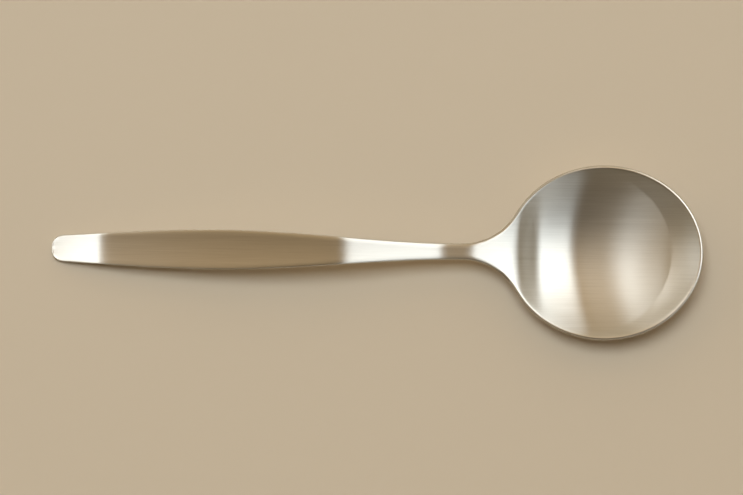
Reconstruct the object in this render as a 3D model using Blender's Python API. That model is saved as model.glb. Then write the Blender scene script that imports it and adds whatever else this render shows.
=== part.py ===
"""Round-bowl teaspoon in one piece of stainless steel, blanked from sheet, rolled thin
at the bowl, pressed to shape and rounded along its whole edge.

Metres, +Z up. X runs along the spoon, from the handle's tip (-X) to the front of the
bowl (+X), and the spoon is the same on both sides of the XZ plane. It lies as on a
table, on Z = 0, with the origin under the middle of its length.
"""

import math

import bmesh
import bpy
import numpy as np

# Outline, seen from above
OVERALL_LENGTH = 0.1366
BOWL_LENGTH = 0.0410
BOWL_WIDTH = 0.0365
NECK_WIDTH = 0.0034
NECK_FLARE_RADIUS = 0.0130
HANDLE_WIDTH = 0.0083
HANDLE_WIDEST_FROM_TIP = 0.0355
TIP_WIDTH = 0.0054
TIP_TAPER = 0.050
TIP_ROUND_LENGTH = 0.0026
TIP_ROUND_POWER = 2.3

# Hollow of the bowl: a shallow dish whose wall turns up a little towards the rim
BOWL_DEPTH = 0.0078
DEEPEST_BEHIND_MIDDLE = 0.0025
WALL_TURN = 0.30
SHOULDER_LENGTH = 0.0086
SHOULDER_SOFTNESS = 0.0018

# Side view: corners of the line that the upper surface follows, each bent over a length.
# Rises are against the back of the bowl's rim.
RIM_RISE = 0.0042
BACK_BEND = 0.0060
DIP_BEFORE_BACK = 0.0069
DIP_RISE = 0.0008
DIP_BEND = 0.0040
NECK_BEND_BEFORE_NECK = 0.0043
NECK_BEND_RISE = 0.0009
NECK_BEND = 0.0036
SHANK_BEND_BEFORE_NECK = 0.0260
SHANK_BEND_RISE = 0.0038
SHANK_BEND = 0.0070
ARCH_BEFORE_NECK = 0.0422
ARCH_RISE = 0.0027
ARCH_BEND = 0.0500
TIP_BEND_FROM_TIP = 0.0107
TIP_BEND_HEIGHT = 0.0043
TIP_BEND = 0.0050
HANDLE_HOLLOW = 0.00025

# Metal, down the middle line and along the rounded edge
FLOOR_THICKNESS = 0.0012
RIM_THICKNESS = 0.0009
NECK_THICKNESS = 0.0026
NECK_EDGE_THICKNESS = 0.0017
HANDLE_THICKNESS = 0.0020
HANDLE_EDGE_THICKNESS = 0.0013
TIP_THICKNESS = 0.0015
TIP_EDGE_THICKNESS = 0.0012

# How far the rounded underside is cut flat where it rests, under the bowl and the tip
REST_CUT = 0.00012

# Facets of the loft
FRONT_STATIONS = 36
FLARE_STATIONS = 14
SHANK_STATIONS = 44
PALM_STATIONS = 22
TIP_STATIONS = 8
ROW_FACETS = 14
EDGE_FACETS = 6

STEEL_COLOUR = (0.66, 0.64, 0.60, 1.0)
STEEL_ROUGHNESS = 0.30
SHARP_ANGLE = math.radians(40)
MERGE_DISTANCE = 1e-7
SLOPE_STEP = 1e-5

half_length = BOWL_LENGTH / 2
half_width = BOWL_WIDTH / 2
tip_x = -OVERALL_LENGTH / 2
front_x = OVERALL_LENGTH / 2
widest_x = tip_x + HANDLE_WIDEST_FROM_TIP
bowl_x = front_x - half_length
back_x = bowl_x - half_length


def ease(t):
    """0 to 1 with level ends."""
    t = np.clip(t, 0.0, 1.0)
    return t * t * (3 - 2 * t)


def flare_angle():
    """Angle on the bowl's ellipse where the neck's concave flare touches it."""
    low, high = math.pi / 2, math.pi
    for _ in range(60):
        angle = (low + high) / 2
        across = math.cos(angle) / half_length
        up = math.sin(angle) / half_width
        centre_y = half_width * math.sin(angle) + NECK_FLARE_RADIUS * up / math.hypot(across, up)
        if centre_y > NECK_WIDTH / 2 + NECK_FLARE_RADIUS:
            low = angle
        else:
            high = angle
    return low


def flare_centre(angle):
    across = math.cos(angle) / half_length
    up = math.sin(angle) / half_width
    reach = NECK_FLARE_RADIUS / math.hypot(across, up)
    return (
        bowl_x + half_length * math.cos(angle) + reach * across,
        half_width * math.sin(angle) + reach * up,
    )


touch_angle = flare_angle()
neck_x, flare_y = flare_centre(touch_angle)
touch_x = bowl_x + half_length * math.cos(touch_angle)


def palm_half_width(x):
    """Handle from its widest place to the tip: level at the widest, an even taper at the tip."""
    t = (x - tip_x) / (widest_x - tip_x)
    taper = TIP_TAPER * (widest_x - tip_x)
    return (
        (2 * t**3 - 3 * t**2 + 1) * TIP_WIDTH / 2
        + (t**3 - 2 * t**2 + t) * taper
        + (3 * t**2 - 2 * t**3) * HANDLE_WIDTH / 2
    )


def outline_half_width(x):
    """Half the spoon's width at each x."""
    bowl = half_width * np.sqrt(np.clip(1 - ((x - bowl_x) / half_length) ** 2, 0, None))
    flare = flare_y - np.sqrt(np.clip(NECK_FLARE_RADIUS**2 - (x - neck_x) ** 2, 0, None))
    shank = NECK_WIDTH / 2 + (HANDLE_WIDTH - NECK_WIDTH) / 2 * ease((neck_x - x) / (neck_x - widest_x))
    short = np.clip(1 - (x - tip_x) / TIP_ROUND_LENGTH, 0, 1)
    palm = palm_half_width(x) * (1 - short**TIP_ROUND_POWER) ** (1 / TIP_ROUND_POWER)
    places = [x > touch_x, x > neck_x, x > widest_x]
    return np.select(places, [bowl, flare, shank], palm)


def station_places():
    """x of every station, close together where the outline turns."""
    front = bowl_x + half_length * np.cos(np.linspace(0, touch_angle, FRONT_STATIONS + 1))
    flare = np.linspace(touch_x, neck_x, FLARE_STATIONS + 1)
    shank = np.linspace(neck_x, widest_x, SHANK_STATIONS + 1)
    palm = np.linspace(widest_x, tip_x + TIP_ROUND_LENGTH, PALM_STATIONS + 1)
    turn = np.linspace(0, math.pi / 2, TIP_STATIONS + 1)
    tip = tip_x + TIP_ROUND_LENGTH * (1 - np.sin(turn))
    return np.concatenate([front, flare[1:], shank[1:], palm[1:], tip[1:]])


def bent_line(corners):
    """Height along straight runs between corners, given as (x, z, length of the bend)."""
    runs = [(b[1] - a[1]) / (b[0] - a[0]) for a, b in zip(corners, corners[1:])]

    def height(x):
        z = corners[0][1] + runs[0] * (x - corners[0][0])
        for (place, _, length), before, after in zip(corners[1:], runs, runs[1:]):
            share = np.clip((x - place) / length + 0.5, 0, 1)
            turned = length * (share**3 - share**4 / 2) + np.clip(x - place - length / 2, 0, None)
            z = z + (after - before) * turned
        return z

    return height


def wall_depth(inside):
    """Depth from 0 at the rim to 1 in the middle, where inside is 0 and 1 too."""
    rim = math.sqrt(1 - WALL_TURN)
    return (np.sqrt(np.clip(1 - WALL_TURN * (1 - inside), 0, None)) - rim) / (1 - rim)


def hollow(x, y):
    """The bowl's hollow below its rim, with a soft shoulder that fades out along the neck."""
    lean = DEEPEST_BEHIND_MIDDLE / half_length
    steeper = (1 - lean**2) / (1 + lean * (x - bowl_x) / half_length) ** 2
    fade = ease((x - neck_x) / (back_x + SHOULDER_LENGTH - neck_x))
    steps = SHOULDER_SOFTNESS * np.array([-1.0, -0.5, 0.5, 1.0])
    reach = outline_half_width(x) ** 2
    softer = np.mean([outline_half_width(x + step) ** 2 for step in steps], axis=0) - reach
    reach = reach + softer * ease((bowl_x - x) / half_length)
    return BOWL_DEPTH * fade * wall_depth(steeper * (reach - y**2) / half_width**2)


# The rim is as high as puts the lowest place of the bowl's floor on the table.
bowl_places = np.linspace(back_x, front_x, 401)
floor_line = RIM_RISE * (bowl_places - back_x) / BOWL_LENGTH - hollow(bowl_places, 0 * bowl_places)
deepest_x = bowl_places[np.argmin(floor_line)]
rim_height = FLOOR_THICKNESS - REST_CUT - np.min(floor_line)

# The spoon's side view along its edge, from the tip to the front of the bowl.
spine = bent_line(
    [
        (tip_x + TIP_EDGE_THICKNESS / 2, TIP_EDGE_THICKNESS - REST_CUT, 0),
        (tip_x + TIP_BEND_FROM_TIP, TIP_BEND_HEIGHT, TIP_BEND),
        (neck_x - ARCH_BEFORE_NECK, rim_height + ARCH_RISE, ARCH_BEND),
        (neck_x - SHANK_BEND_BEFORE_NECK, rim_height + SHANK_BEND_RISE, SHANK_BEND),
        (neck_x - NECK_BEND_BEFORE_NECK, rim_height + NECK_BEND_RISE, NECK_BEND),
        (back_x - DIP_BEFORE_BACK, rim_height + DIP_RISE, DIP_BEND),
        (back_x, rim_height, BACK_BEND),
        (front_x, rim_height + RIM_RISE, 0),
    ]
)


def upper_height(x, y):
    """Upper surface: hollow over the bowl, and slightly so along the handle."""
    handle = ease((back_x - x) / (back_x - neck_x))
    trough = HANDLE_HOLLOW * handle * (2 * y / HANDLE_WIDTH) ** 2
    return spine(x) - hollow(x, y) + trough


def upper_normal(x, y):
    slope_x = (upper_height(x + SLOPE_STEP, y) - upper_height(x - SLOPE_STEP, y)) / (2 * SLOPE_STEP)
    slope_y = (upper_height(x, y + SLOPE_STEP) - upper_height(x, y - SLOPE_STEP)) / (2 * SLOPE_STEP)
    normal = np.stack([-slope_x, -slope_y, np.ones_like(slope_x)], axis=-1)
    return normal / np.linalg.norm(normal, axis=-1, keepdims=True)


def along(x, stops):
    """Eased steps between (place, value) stops, given from the tip to the front."""
    value = np.full_like(x, stops[0][1])
    for (start, before), (end, after) in zip(stops, stops[1:]):
        value = value + (after - before) * ease((x - start) / (end - start))
    return value


def middle_thickness(x):
    return along(
        x,
        [
            (tip_x, TIP_THICKNESS),
            (widest_x, HANDLE_THICKNESS),
            (neck_x, NECK_THICKNESS),
            (deepest_x, FLOOR_THICKNESS),
            (front_x, RIM_THICKNESS),
        ],
    )


def edge_thickness(x):
    return along(
        x,
        [
            (tip_x, TIP_EDGE_THICKNESS),
            (widest_x, HANDLE_EDGE_THICKNESS),
            (neck_x, NECK_EDGE_THICKNESS),
            (touch_x, RIM_THICKNESS),
        ],
    )


def outward(x, y):
    """Direction square to the outline, in plan, at each station of the +Y side."""
    along_x, along_y = np.gradient(x), np.gradient(y)
    along_x[[0, -1]] = 0
    along_y[0], along_y[-1] = 1, -1
    away = np.stack([along_y, -along_x, np.zeros_like(x)], axis=-1)
    return away / np.linalg.norm(away, axis=-1, keepdims=True)


def edge_line():
    """Where the upper surface stops, so far inside the outline that the rounded edge reaches it."""
    place = station_places()
    outline = np.stack([place, outline_half_width(place), np.zeros_like(place)], axis=-1)
    away = outward(outline[:, 0], outline[:, 1])
    thickness = edge_thickness(place)
    inset = thickness / 2
    for _ in range(3):
        edge = outline - away * inset[:, None]
        normal = upper_normal(edge[:, 0], edge[:, 1])
        inset = thickness / 2 * (1 - np.sum(away * normal, axis=-1))
    edge[[0, -1], 1] = 0
    return edge, away, thickness


def mirrored(points):
    return points * np.array([1, -1, 1])


def section_loops():
    """One closed loop of points per station: upper row, rounded edge, lower row, rounded edge."""
    edge, away, thickness = edge_line()
    edge[:, 2] = upper_height(edge[:, 0], edge[:, 1])
    edge_normal = upper_normal(edge[:, 0], edge[:, 1])
    reach = away - edge_normal * np.sum(away * edge_normal, axis=-1, keepdims=True)
    reach /= np.linalg.norm(reach, axis=-1, keepdims=True)

    share = np.linspace(-1, 1, ROW_FACETS + 1)
    x = np.repeat(edge[:, :1], len(share), axis=1)
    y = edge[:, 1:2] * share
    upper = np.stack([x, y, upper_height(x, y)], axis=-1)
    middle = middle_thickness(x)
    depth = middle + (thickness[:, None] - middle) * share**2
    lower = upper - upper_normal(x, y) * depth[..., None]

    turn = np.linspace(0, math.pi, EDGE_FACETS + 1)[1:-1, None]
    radius = thickness[:, None, None] / 2
    around = np.cos(turn) * edge_normal[:, None] + np.sin(turn) * reach[:, None]
    rounded = edge[:, None] - radius * edge_normal[:, None] + radius * around
    return np.concatenate([upper, rounded, lower[:, ::-1], mirrored(rounded)[:, ::-1]], axis=1)


def loft(loops):
    """Skin over the section loops, cut flat where the spoon rests."""
    mesh = bmesh.new()
    rings = [[mesh.verts.new(point) for point in loop] for loop in loops]
    for ring, following in zip(rings, rings[1:]):
        for i in range(len(ring)):
            mesh.faces.new((ring[i - 1], ring[i], following[i], following[i - 1]))
    bmesh.ops.remove_doubles(mesh, verts=mesh.verts[:], dist=MERGE_DISTANCE)
    bmesh.ops.recalc_face_normals(mesh, faces=mesh.faces[:])
    everything = mesh.verts[:] + mesh.edges[:] + mesh.faces[:]
    cut = bmesh.ops.bisect_plane(
        mesh,
        geom=everything,
        dist=MERGE_DISTANCE,
        plane_co=(0, 0, 0),
        plane_no=(0, 0, -1),
        clear_outer=True,
    )
    border = [piece for piece in cut["geom_cut"] if isinstance(piece, bmesh.types.BMEdge)]
    bmesh.ops.holes_fill(mesh, edges=border, sides=0)
    bmesh.ops.recalc_face_normals(mesh, faces=mesh.faces[:])
    return mesh


def steel():
    material = bpy.data.materials.new("brushed_steel")
    material.use_nodes = True
    shader = material.node_tree.nodes["Principled BSDF"]
    shader.inputs["Base Color"].default_value = STEEL_COLOUR
    shader.inputs["Metallic"].default_value = 1.0
    shader.inputs["Roughness"].default_value = STEEL_ROUGHNESS
    return material


def clear_scene():
    for old in list(bpy.data.objects):
        bpy.data.objects.remove(old)


def make_spoon():
    mesh = bpy.data.meshes.new("spoon")
    solid = loft(section_loops())
    solid.to_mesh(mesh)
    solid.free()
    mesh.materials.append(steel())
    mesh.shade_smooth()
    mesh.set_sharp_from_angle(angle=SHARP_ANGLE)
    spoon = bpy.data.objects.new("spoon", mesh)
    bpy.context.scene.collection.objects.link(spoon)
    return spoon


clear_scene()
make_spoon()
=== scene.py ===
"""Looks of the round-bowl teaspoon: satin steel brushed along its length, on a pale floor.

Metres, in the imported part's own frame: X along the spoon, Z up, the floor at Z = 0.
"""

import math

import bpy
from mathutils import Matrix, Vector


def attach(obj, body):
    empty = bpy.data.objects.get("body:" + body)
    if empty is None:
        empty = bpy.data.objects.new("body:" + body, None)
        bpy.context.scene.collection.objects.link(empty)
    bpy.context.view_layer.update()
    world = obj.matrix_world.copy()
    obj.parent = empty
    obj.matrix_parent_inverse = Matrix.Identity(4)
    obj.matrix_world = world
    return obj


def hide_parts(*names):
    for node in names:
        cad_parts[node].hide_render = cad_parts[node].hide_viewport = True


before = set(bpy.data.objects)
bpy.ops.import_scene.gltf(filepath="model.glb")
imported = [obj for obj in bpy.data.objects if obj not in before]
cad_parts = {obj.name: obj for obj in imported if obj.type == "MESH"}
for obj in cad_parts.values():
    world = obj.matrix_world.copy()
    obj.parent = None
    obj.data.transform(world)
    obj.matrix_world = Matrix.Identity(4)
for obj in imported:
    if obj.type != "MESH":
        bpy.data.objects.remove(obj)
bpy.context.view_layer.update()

# Camera: straight above, with the spoon's axis turned a little in the frame
CAMERA_PLACE = (-0.0007, 0.0007, 0.624)
CAMERA_TURN = math.radians(0.49)
CAMERA_LENS = 143.0
CAMERA_NEAR = 0.01

# Steel skin over the pressed solid. Its rounded edge is what turns this far from facing up,
# where 1 faces up and 0 faces sideways.
MERGE_DISTANCE = 1e-6
QUAD_FACE_ANGLE = math.radians(60)
QUAD_SHAPE_ANGLE = math.radians(180)
ROUNDED_EDGE_ANGLE = math.radians(20)
ROUNDED_EDGE_TURN = 0.8
SMOOTH_LEVEL = 2
TEXTURE_MIDDLE = (-10.0, 0, 0)
TEXTURE_SIZE = (1, 1, 1)

# The handle's upper corner is crisper than a round: it keeps the round's width and thickness
CORNER_RADIUS = 0.0006
CORNER_POWER = 0.3
CORNER_FULL_X = 0.020
CORNER_END_X = 0.031
CORNER_TURNS = (0.12, 0.95)

# Brushed finish: lengths run along the spoon, widths across it
STEEL_DARK = (0.60, 0.58, 0.54, 1.0)
STEEL_PALE = (0.74, 0.72, 0.68, 1.0)
MIDDLE_TONE = 0.5
BRUSH_ROUGHNESS = 0.32
BRUSH_ROUGHNESS_SPREAD = 0.08
BRUSH_ANISOTROPY = 1.0
HAIRLINE_LENGTH = 0.012
HAIRLINE_WIDTH = 0.00016
HAIRLINE_DEPTH = 0.000004
RELIEF_STRENGTH = 0.5
STREAK_LENGTH = 0.030
STREAK_WIDTH = 0.0009
STREAK_SHARE = 0.6
NOISE_DETAIL = 2.0
NOISE_ROUGHNESS = 0.6
NOISE_MIDDLE = 0.5
EDGE_ROUGHNESS = 0.27
EDGE_FADE = (0.5, 0.9)

# The brushing stops at a round border in the bowl: the wall in front of it is buffed smooth
BORDER_X = 0.0455
BORDER_RADIUS = 0.0163
BORDER_EDGE = 0.0005
BUFFED_ROUGHNESS = 0.30
BUFFED_SHARE = 0.65
BUFFED_FROM_X = 0.0395
BUFFED_FULL_X = 0.0495

# Room: dim and warm overhead, paler towards the floor, with its dark side towards -Y.
# Heights and sides are parts of the direction looked in.
OVERHEAD = (0.56, 0.40, 0.225, 1.0)
HORIZON = (0.36, 0.295, 0.20, 1.0)
OVERHEAD_HEIGHTS = (0.42, 0.68)
DARK_HORIZON = 0.60
LIGHT_SIDE = 1.5
LIGHT_SIDES = (-0.5, 0.55)
LIGHT_SLANT = 0.2

FLOOR_COLOUR = (0.66, 0.58, 0.47, 1.0)
FLOOR_ROUGHNESS = 0.9
FLOOR_SHINE = 0.2
FLOOR_SIZE = 6.0

# Soft lamps: where each is, what it faces, its size across Y and along X, how bright it looks,
# and the share of its length over which it fades out towards +X. The key lamp lights the floor,
# and the cards show in the steel.
LAMP_COLOUR = (0.86, 0.95, 1.0, 1.0)
KEY_LAMP = ((-0.08, 0.29, 1.16), (0, 0, 0), (0.38, 0.42), 14.4, 0.02)
CARDS = {
    "main_card": ((0.998, 0.400, 1.224), (0.02, 0, 0), (1.90, 1.715), 2.45, 0.33),
    "tip_card": ((-0.140, 0.012, 0.102), (-0.063, 0, 0), (0.090, 0.030), 0.62, 0.02),
    "left_card": ((-0.924, 0.640, 1.150), (0, 0, 0), (0.65, 0.70), 1.02, 0.30),
    "bowl_card": ((0.0350, 0.0140, 0.032), (0.0542, 0.002, 0), (0.024, 0.0064), 0.42, 0.50),
    "fill_card": ((0.0412, 0.0140, 0.032), (0.0460, 0.002, 0), (0.030, 0.0070), 0.085, 0.10),
}
NEAR_CARDS = ("tip_card", "bowl_card", "fill_card")
NEAR_CARD_SPREAD = math.radians(80)


class Wire:
    """One output of a shader node: sums and products of wires add Math nodes."""

    def __init__(self, shader, socket):
        self.shader = shader
        self.socket = socket

    def math(self, operation, first, second):
        pins = {"Value": first, "Value_001": second}
        return self.shader.add("ShaderNodeMath", {"operation": operation}, pins)

    def __add__(self, other):
        return self.math("ADD", self, other)

    def __sub__(self, other):
        return self.math("SUBTRACT", self, other)

    def __rsub__(self, other):
        return self.math("SUBTRACT", other, self)

    def __mul__(self, other):
        return self.math("MULTIPLY", self, other)

    __radd__ = __add__
    __rmul__ = __mul__


class Shader:
    """A node tree that is filled one node at a time."""

    def __init__(self, owner):
        owner.use_nodes = True
        self.tree = owner.node_tree
        self.tree.nodes.clear()

    def add(self, kind, settings=None, pins=None, output=None):
        """Adds a node and gives one of its outputs.

        Settings come first, then values or wires by the identifier of the socket.
        """
        node = self.tree.nodes.new(kind)
        for name, value in (settings or {}).items():
            setattr(node, name, value)
        sockets = {socket.identifier: socket for socket in node.inputs}
        for name, value in (pins or {}).items():
            if isinstance(value, Wire):
                self.tree.links.new(value.socket, sockets[name])
            else:
                sockets[name].default_value = value
        outlets = {socket.identifier: socket for socket in node.outputs}
        if not outlets:
            return None
        return Wire(self, outlets[output] if output else node.outputs[0])

    def axis(self, vector, name):
        """One of the three parts of a vector."""
        return self.add("ShaderNodeSeparateXYZ", {}, {"Vector": vector}, output=name)

    def marked(self, name):
        """A value that the mesh keeps at its vertices."""
        return self.add("ShaderNodeAttribute", {"attribute_name": name}, output="Fac")

    def rise(self, value, start, end):
        """0 up to the start, 1 from the end on, and a smooth rise between them."""
        pins = {"Value": value, "From Min": start, "From Max": end}
        return self.add("ShaderNodeMapRange", {"interpolation_type": "SMOOTHSTEP"}, pins)

    def blend(self, share, first, second):
        """A colour between two others."""
        pins = {"Factor_Float": share, "A_Color": first, "B_Color": second}
        settings = {"data_type": "RGBA", "clamp_factor": True}
        return self.add("ShaderNodeMix", settings, pins, output="Result_Color")


def brush_marks(shader, place, length, width):
    """Noise drawn out along the spoon, spread about 0."""
    stretched = shader.add(
        "ShaderNodeMapping", {}, {"Vector": place, "Scale": (1 / length, 1 / width, 1.0)}
    )
    marks = shader.add(
        "ShaderNodeTexNoise",
        {"noise_dimensions": "2D"},
        {
            "Vector": stretched,
            "Scale": 1.0,
            "Detail": NOISE_DETAIL,
            "Roughness": NOISE_ROUGHNESS,
        },
    )
    return marks - NOISE_MIDDLE


def buffed_share(shader, place):
    """How buffed the steel is: only inside the bowl, on its front wall outside the border."""
    flat = shader.add("ShaderNodeMapping", {}, {"Vector": place, "Scale": (1, 1, 0)})
    reach = shader.add(
        "ShaderNodeVectorMath",
        {"operation": "DISTANCE"},
        {"Vector": flat, "Vector_001": (BORDER_X, 0, 0)},
        output="Value",
    )
    outside = shader.rise(reach, BORDER_RADIUS, BORDER_RADIUS + BORDER_EDGE)
    front = shader.rise(shader.axis(place, "X"), BUFFED_FROM_X, BUFFED_FULL_X)
    return BUFFED_SHARE * shader.marked("upper_face") * outside * front


def brushed_steel():
    """Satin steel: hairlines in its tone, gloss and relief, smoother where the edge is rounded."""
    material = bpy.data.materials.new("brushed_steel")
    shader = Shader(material)
    place = shader.add("ShaderNodeTexCoord", output="Object")
    face = 1 - shader.rise(shader.marked("rounded_edge"), *EDGE_FADE)
    hairlines = brush_marks(shader, place, HAIRLINE_LENGTH, HAIRLINE_WIDTH)
    streaks = brush_marks(shader, place, STREAK_LENGTH, STREAK_WIDTH)
    marks = face * (hairlines + STREAK_SHARE * streaks)
    tone = shader.blend(MIDDLE_TONE + marks, STEEL_DARK, STEEL_PALE)
    relief = shader.add(
        "ShaderNodeBump",
        {},
        {"Strength": RELIEF_STRENGTH, "Distance": HAIRLINE_DEPTH, "Height": marks},
    )
    brushed = shader.add(
        "ShaderNodeBsdfPrincipled",
        {},
        {
            "Base Color": tone,
            "Metallic": 1.0,
            "Roughness": BRUSH_ROUGHNESS + BRUSH_ROUGHNESS_SPREAD * marks,
            "Anisotropic": BRUSH_ANISOTROPY,
            "Normal": relief,
        },
    )
    sheen = EDGE_ROUGHNESS + face * (BUFFED_ROUGHNESS - EDGE_ROUGHNESS)
    buffed = shader.add(
        "ShaderNodeBsdfPrincipled",
        {},
        {"Base Color": tone, "Metallic": 1.0, "Roughness": sheen},
    )
    smooth = 1 - face * (1 - buffed_share(shader, place))
    steel = shader.add(
        "ShaderNodeMixShader", {}, {"Fac": smooth, "Shader": brushed, "Shader_001": buffed}
    )
    shader.add("ShaderNodeOutputMaterial", {}, {"Surface": steel})
    return material


def select_flats(mesh):
    """Selects the flats that the spoon rests on, and nothing else."""
    for face in mesh.polygons:
        face.select = all(abs(mesh.vertices[i].co.z) < MERGE_DISTANCE for i in face.vertices)


def mark(mesh, name, values):
    """Keeps a value at each vertex, for the shader to read."""
    attribute = mesh.attributes.new(name, "FLOAT", "POINT")
    attribute.data.foreach_set("value", [float(value) for value in values])


def crisp_corner(mesh):
    """Draws the selected round out to a crisper corner where it faces up.

    It is crispest along the handle and fades out at the bowl.
    """
    lowest, highest = CORNER_TURNS
    normals = [vertex.normal.copy() for vertex in mesh.vertices]
    for vertex, normal in zip(mesh.vertices, normals):
        up = normal.z
        share = (CORNER_END_X - vertex.co.x) / (CORNER_END_X - CORNER_FULL_X)
        if vertex.select and share > 0 and lowest < up < highest:
            reach = CORNER_RADIUS * min(share, 1)
            out = math.sqrt(1 - up * up)
            sideways = Vector((normal.x, normal.y, 0)).normalized()
            vertex.co += reach * (out**CORNER_POWER - out) * sideways
            vertex.co.z += reach * (up**CORNER_POWER - up)


def steel_skin(node):
    """The pressed solid's surface as one smooth skin.

    Its rounded edge and its upper face are marked for the shader.
    """
    bpy.ops.object.select_all(action="DESELECT")
    skin = bpy.data.objects.new("spoon_steel", node.data.copy())
    bpy.context.scene.collection.objects.link(skin)
    bpy.context.view_layer.objects.active = skin
    skin.select_set(True)

    # Triangles back to the loft's quads, and each flat to one face
    bpy.ops.mesh.customdata_custom_splitnormals_clear()
    bpy.ops.object.mode_set(mode="EDIT")
    bpy.ops.mesh.select_mode(type="FACE")
    bpy.ops.mesh.select_all(action="SELECT")
    bpy.ops.mesh.remove_doubles(threshold=MERGE_DISTANCE)
    bpy.ops.mesh.tris_convert_to_quads(
        face_threshold=QUAD_FACE_ANGLE, shape_threshold=QUAD_SHAPE_ANGLE
    )
    bpy.ops.mesh.select_all(action="DESELECT")
    bpy.ops.object.mode_set(mode="OBJECT")
    select_flats(skin.data)
    bpy.ops.object.mode_set(mode="EDIT")
    bpy.ops.mesh.dissolve_faces()

    # The rounded edge stays selected while it is marked and its upper corner is drawn out
    bpy.ops.mesh.select_mode(type="EDGE")
    bpy.ops.mesh.select_all(action="DESELECT")
    bpy.ops.mesh.edges_select_sharp(sharpness=ROUNDED_EDGE_ANGLE)
    bpy.ops.object.mode_set(mode="OBJECT")
    vertices = skin.data.vertices
    edge = [vertex.select and vertex.normal.z < ROUNDED_EDGE_TURN for vertex in vertices]
    upper = [vertex.normal.z > 0 for vertex in vertices]
    mark(skin.data, "rounded_edge", edge)
    mark(skin.data, "upper_face", upper)
    crisp_corner(skin.data)

    smooth = skin.modifiers.new("smooth", "SUBSURF")
    smooth.levels = smooth.render_levels = SMOOTH_LEVEL
    bpy.ops.object.modifier_apply(modifier="smooth")
    bpy.ops.object.shade_smooth()

    # The shader's own tangent turns about the middle of the texture space. With that far off
    # along X, it runs straight across the spoon all over, so the gloss spreads across the brushing.
    skin.data.use_auto_texspace = False
    skin.data.texspace_location = TEXTURE_MIDDLE
    skin.data.texspace_size = TEXTURE_SIZE
    skin.data.materials.clear()
    skin.data.materials.append(brushed_steel())
    return skin


def pale_floor():
    bpy.ops.object.select_all(action="DESELECT")
    bpy.ops.mesh.primitive_plane_add(size=FLOOR_SIZE, location=(0, 0, 0))
    floor = bpy.context.object
    floor.name = "floor"
    material = bpy.data.materials.new("pale_floor")
    shader = Shader(material)
    surface = shader.add(
        "ShaderNodeBsdfPrincipled",
        {},
        {
            "Base Color": FLOOR_COLOUR,
            "Roughness": FLOOR_ROUGHNESS,
            "Specular IOR Level": FLOOR_SHINE,
        },
    )
    shader.add("ShaderNodeOutputMaterial", {}, {"Surface": surface})
    floor.data.materials.append(material)
    return floor


def soft_lamp(name, place, aim, size, level, fade):
    """A flat lamp facing its aim, as bright to look at as a white floor times its level."""
    lamp = bpy.data.lights.new(name, "AREA")
    lamp.shape = "RECTANGLE"
    lamp.size, lamp.size_y = size
    lamp.energy = level * math.pi * size[0] * size[1]
    shader = Shader(lamp)
    across_along = shader.add("ShaderNodeNewGeometry", output="Parametric")
    share = shader.rise(shader.axis(across_along, "Y"), 0.0, fade)
    glow = shader.add("ShaderNodeEmission", {}, {"Color": LAMP_COLOUR, "Strength": share})
    shader.add("ShaderNodeOutputLight", {}, {"Surface": glow})

    away = (Vector(place) - Vector(aim)).normalized()
    across = (Vector((0, 1, 0)) - away.y * away).normalized()
    turn = Matrix((across, away.cross(across), away)).transposed()
    holder = bpy.data.objects.new(name, lamp)
    holder.matrix_world = Matrix.Translation(place) @ turn.to_4x4()
    holder.visible_camera = False
    bpy.context.scene.collection.objects.link(holder)
    return holder


def room():
    world = bpy.data.worlds.new("room")
    bpy.context.scene.world = world
    shader = Shader(world)
    toward = shader.add("ShaderNodeTexCoord", output="Generated")
    height = shader.rise(shader.axis(toward, "Z"), *OVERHEAD_HEIGHTS)
    side = shader.axis(toward, "Y") - LIGHT_SLANT * shader.axis(toward, "X")
    light_share = shader.rise(side, *LIGHT_SIDES)
    dark = DARK_HORIZON * (1 - height)
    strength = dark + (LIGHT_SIDE - dark) * light_share
    colour = shader.blend(height, HORIZON, OVERHEAD)
    light = shader.add("ShaderNodeBackground", {}, {"Color": colour, "Strength": strength})
    shader.add("ShaderNodeOutputWorld", {}, {"Surface": light})


def camera():
    view = bpy.data.cameras.new("camera")
    view.lens = CAMERA_LENS
    view.clip_start = CAMERA_NEAR
    holder = bpy.data.objects.new("camera", view)
    holder.location = CAMERA_PLACE
    holder.rotation_euler = (0, 0, CAMERA_TURN)
    bpy.context.scene.collection.objects.link(holder)
    bpy.context.scene.camera = holder


spoon = steel_skin(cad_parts["spoon"])
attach(spoon, "root")
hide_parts("spoon")

pale_floor()
soft_lamp("key_lamp", *KEY_LAMP).visible_glossy = False
for name, card in CARDS.items():
    soft_lamp(name, *card).visible_diffuse = False
for name in NEAR_CARDS:
    bpy.data.lights[name].spread = NEAR_CARD_SPREAD
room()
camera()
bpy.context.scene.view_settings.view_transform = "Standard"
